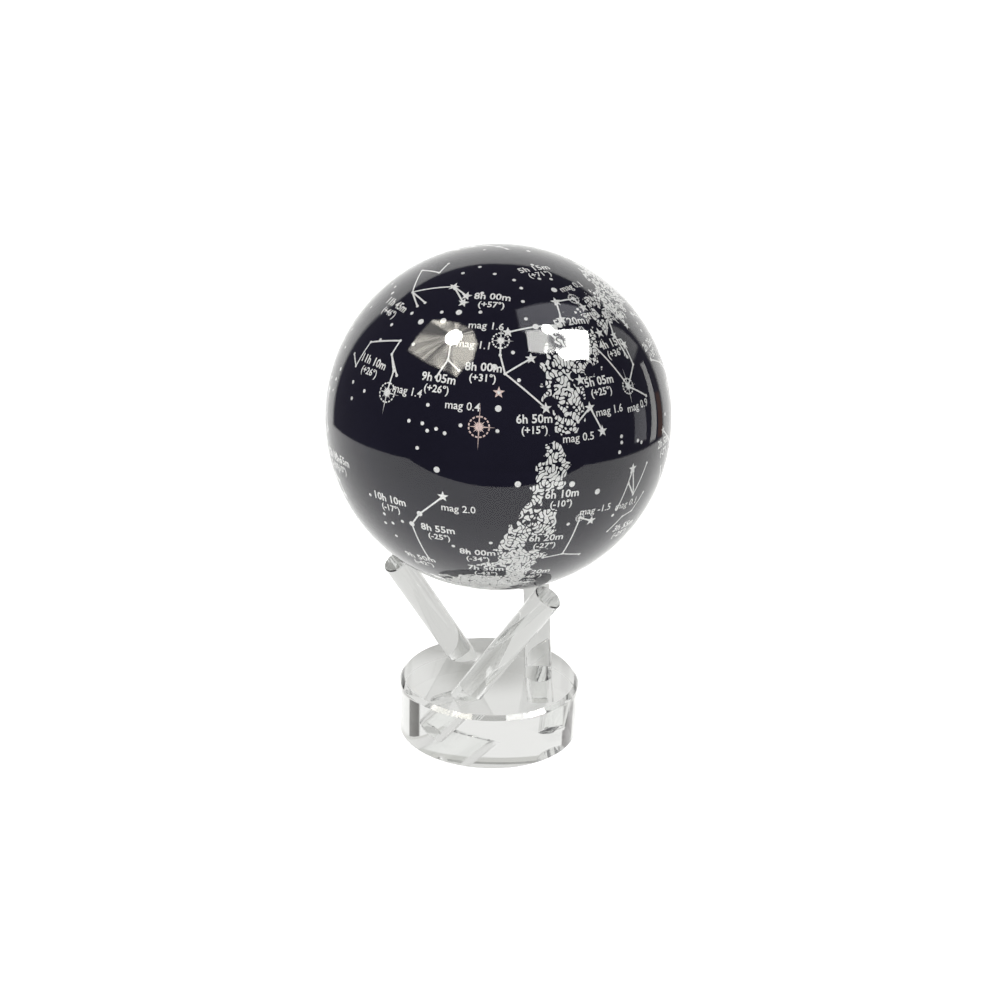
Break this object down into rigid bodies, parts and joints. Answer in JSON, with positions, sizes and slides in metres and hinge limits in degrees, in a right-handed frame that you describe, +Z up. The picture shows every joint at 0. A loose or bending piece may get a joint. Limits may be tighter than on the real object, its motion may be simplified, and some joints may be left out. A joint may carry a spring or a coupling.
{
  "type": "celestial globe",
  "caption": "Star globe floating in a clear ball, turned inside by a solar motor, resting on three slanted clear rods set in a clear disc.",
  "frame": {"origin": "middle of the stand's underside, on the axis of the disc and of the ball", "axes": "+Z up, the viewer stands at -Y, +X to the viewer's right"},
  "size_m": [0.1142, 0.1142, 0.1711],
  "materials": {
    "clear_acrylic": "polished clear acrylic, water white",
    "clear_shell": "polished clear acrylic ball",
    "fluid": "clear colourless carrier fluid",
    "printed_globe": "navy-black gloss print with silver star chart",
    "black_moulding": "black moulded plastic",
    "cast_weight": "plain cast weight",
    "screw_steel": "bright steel screw",
    "tinned_copper": "tinned copper tab",
    "circuit_board": "green solder mask on glass epoxy",
    "chip_epoxy": "black moulded epoxy",
    "capacitor_sleeve": "dark sleeve",
    "motor_steel": "drawn plated steel can",
    "lead_insulation": "red wire insulation",
    "bearing_brass": "turned brass",
    "post_brass": "turned brass",
    "gear_brass": "cut brass",
    "shaft_steel": "ground steel",
    "gear_moulding": "natural acetal",
    "magnet": "nickel-plated magnet",
    "solar_cell": "dark blue cell under a clear coat"
  },
  "bodies": {
    "stand": {"base_disc": "clear_acrylic", "support_rod_left": "clear_acrylic", "support_rod_front": "clear_acrylic", "support_rod_back": "clear_acrylic"},
    "ball_case": {"clear_ball_upper": "clear_shell", "clear_ball_lower": "clear_shell", "fill_plug": "clear_shell", "carrier_fluid": "fluid"},
    "star_globe": {"star_globe_north": "printed_globe", "star_globe_south": "printed_globe", "joining_ring": "black_moulding", "ballast_weight": "cast_weight", "chassis_deck": "black_moulding", "deck_screws": "screw_steel", "cell_links": "tinned_copper", "drive_board": "circuit_board", "control_chip": "chip_epoxy", "storage_capacitor": "capacitor_sleeve", "motor_can": "motor_steel", "motor_clamp": "black_moulding", "clamp_screws": "screw_steel", "motor_leads": "lead_insulation", "upper_bearing": "bearing_brass", "lower_bearing": "bearing_brass", "bearing_bridge": "black_moulding", "bridge_posts": "post_brass", "post_screws": "screw_steel", "bridge_screws": "screw_steel", "idler_post": "shaft_steel", "solar_cell_1": "solar_cell", "solar_cell_2": "solar_cell", "solar_cell_3": "solar_cell", "solar_cell_4": "solar_cell", "solar_cell_5": "solar_cell", "solar_cell_6": "solar_cell"},
    "idler": {"idler_gear": "gear_moulding"},
    "motor_rotor": {"motor_shaft": "shaft_steel", "motor_pinion": "gear_brass"},
    "compass_rotor": {"magnet_shaft": "shaft_steel", "output_gear": "gear_moulding", "magnet_carrier": "black_moulding", "magnet_bar_north": "magnet", "magnet_bar_south": "magnet"}
  },
  "joints": [
    {"name": "ball_lift", "type": "slide", "parent": "stand", "child": "ball_case", "axis": [0, 0, 1], "range_m": [0, 0.1]},
    {"name": "globe_spin", "type": "hinge", "parent": "ball_case", "child": "star_globe", "pos_m": [0, 0, 0.11399], "axis": [0, 0, 1], "continuous": true},
    {"name": "compass_turn", "type": "hinge", "parent": "star_globe", "child": "compass_rotor", "pos_m": [0, 0, 0.11399], "axis": [0, 0, 1], "continuous": true},
    {"name": "idler_turn", "type": "hinge", "parent": "star_globe", "child": "idler", "pos_m": [0.00609, 0.01305, 0.11399], "axis": [0, 0, 1], "continuous": true},
    {"name": "motor_spin", "type": "hinge", "parent": "star_globe", "child": "motor_rotor", "pos_m": [-0.00782, 0.01678, 0.11399], "axis": [0, 0, 1], "continuous": true}
  ],
  "couplings": [
    {"joint": "compass_turn", "follows": "globe_spin", "ratio": -1},
    {"joint": "idler_turn", "follows": "globe_spin", "ratio": 5},
    {"joint": "motor_spin", "follows": "globe_spin", "ratio": -25}
  ]
}
